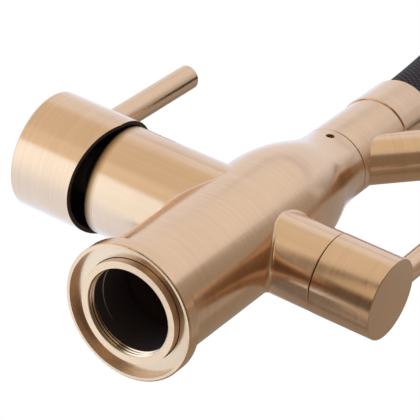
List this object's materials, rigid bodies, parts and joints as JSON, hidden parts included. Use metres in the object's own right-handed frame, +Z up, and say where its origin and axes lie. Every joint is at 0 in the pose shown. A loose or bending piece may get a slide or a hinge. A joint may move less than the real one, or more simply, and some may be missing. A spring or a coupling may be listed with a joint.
{
  "type": "kitchen tap",
  "caption": "Deck mounted kitchen tap with a lever mixer, a quarter turn filtered water knob, a swivel arm and a pull-down spray on an arched black hose.",
  "frame": {"origin": "centre of the foot, on the worktop", "axes": "+Z up the body; +X along the mixer branch; the user stands at -Y"},
  "size_m": [0.3427, 0.0736, 0.5486],
  "materials": {
    "pvd_brushed": "brushed rose gold coating",
    "brass": "machined",
    "steel": "plain",
    "black_plastic": "satin",
    "grey_plastic": "satin",
    "rubber": "matt",
    "hose": "soft matt sleeve"
  },
  "bodies": {
    "tap_body": {"body": "pvd_brushed", "base_insert": "brass", "waterway_core": "brass", "cartridge_case": "black_plastic", "cartridge_nut": "brass", "mixer_shroud": "black_plastic", "filter_valve": "brass", "valve_lock_nut": "brass", "filter_gasket": "black_plastic", "filter_riser": "steel", "swivel_washer": "black_plastic", "spigot_screw": "steel"},
    "mixer_carrier": {"cartridge_carrier": "black_plastic", "lever_axle": "steel"},
    "mixer_handle": {"lever_stem": "steel", "mixer_cap": "pvd_brushed", "mixer_pin": "pvd_brushed", "mixer_grub": "steel"},
    "filter_handle": {"filter_spindle": "brass", "filter_knob": "pvd_brushed", "filter_pin": "pvd_brushed", "filter_grub": "steel"},
    "spout": {"spout_spigot": "brass", "spigot_seals": "rubber", "swivel_ring": "pvd_brushed", "arm": "pvd_brushed", "filter_tube": "steel", "filter_outlet": "pvd_brushed", "outlet_aerator": "grey_plastic", "dock_ring": "pvd_brushed", "dock_magnet": "steel", "hose_ferrule": "pvd_brushed", "ferrule_nipple": "brass", "hose": "hose"},
    "hose_end": {"hose_collar": "pvd_brushed", "collar_nipple": "brass", "check_valve": "black_plastic"},
    "spray_head": {"spray_shell": "pvd_brushed", "keeper_ring": "steel", "spray_core": "black_plastic", "spray_face": "black_plastic", "spray_aerator": "grey_plastic"},
    "spray_button": {"spray_button": "black_plastic"}
  },
  "joints": [
    {"name": "mixer_turn", "type": "hinge", "parent": "tap_body", "child": "mixer_carrier", "pos_m": [0.05, 0, 0.0692], "axis": [1, 0, 0], "range_deg": [-45, 45]},
    {"name": "mixer_tilt", "type": "hinge", "parent": "mixer_carrier", "child": "mixer_handle", "pos_m": [0.05, 0, 0.0692], "axis": [0, 1, 0], "range_deg": [0, 20]},
    {"name": "filter_turn", "type": "hinge", "parent": "tap_body", "child": "filter_handle", "pos_m": [-0.05, 0, 0.0692], "axis": [1, 0, 0], "range_deg": [0, 90]},
    {"name": "spout_swivel", "type": "hinge", "parent": "tap_body", "child": "spout", "pos_m": [0, 0, 0.134], "axis": [0, 0, 1], "range_deg": [-3.4, 196.6]},
    {"name": "spray_pull", "type": "slide", "parent": "spout", "child": "hose_end", "axis": [0, 0, -1], "range_m": [0, 0.06]},
    {"name": "spray_turn", "type": "hinge", "parent": "hose_end", "child": "spray_head", "pos_m": [-0.23444, 0.02712, 0.28], "axis": [0, 0, 1], "continuous": true},
    {"name": "button_press", "type": "slide", "parent": "spray_head", "child": "spray_button", "axis": [0.9934, -0.1149, 0], "range_m": [0, 0.0015], "stiffness_N_per_m": 600}
  ]
}
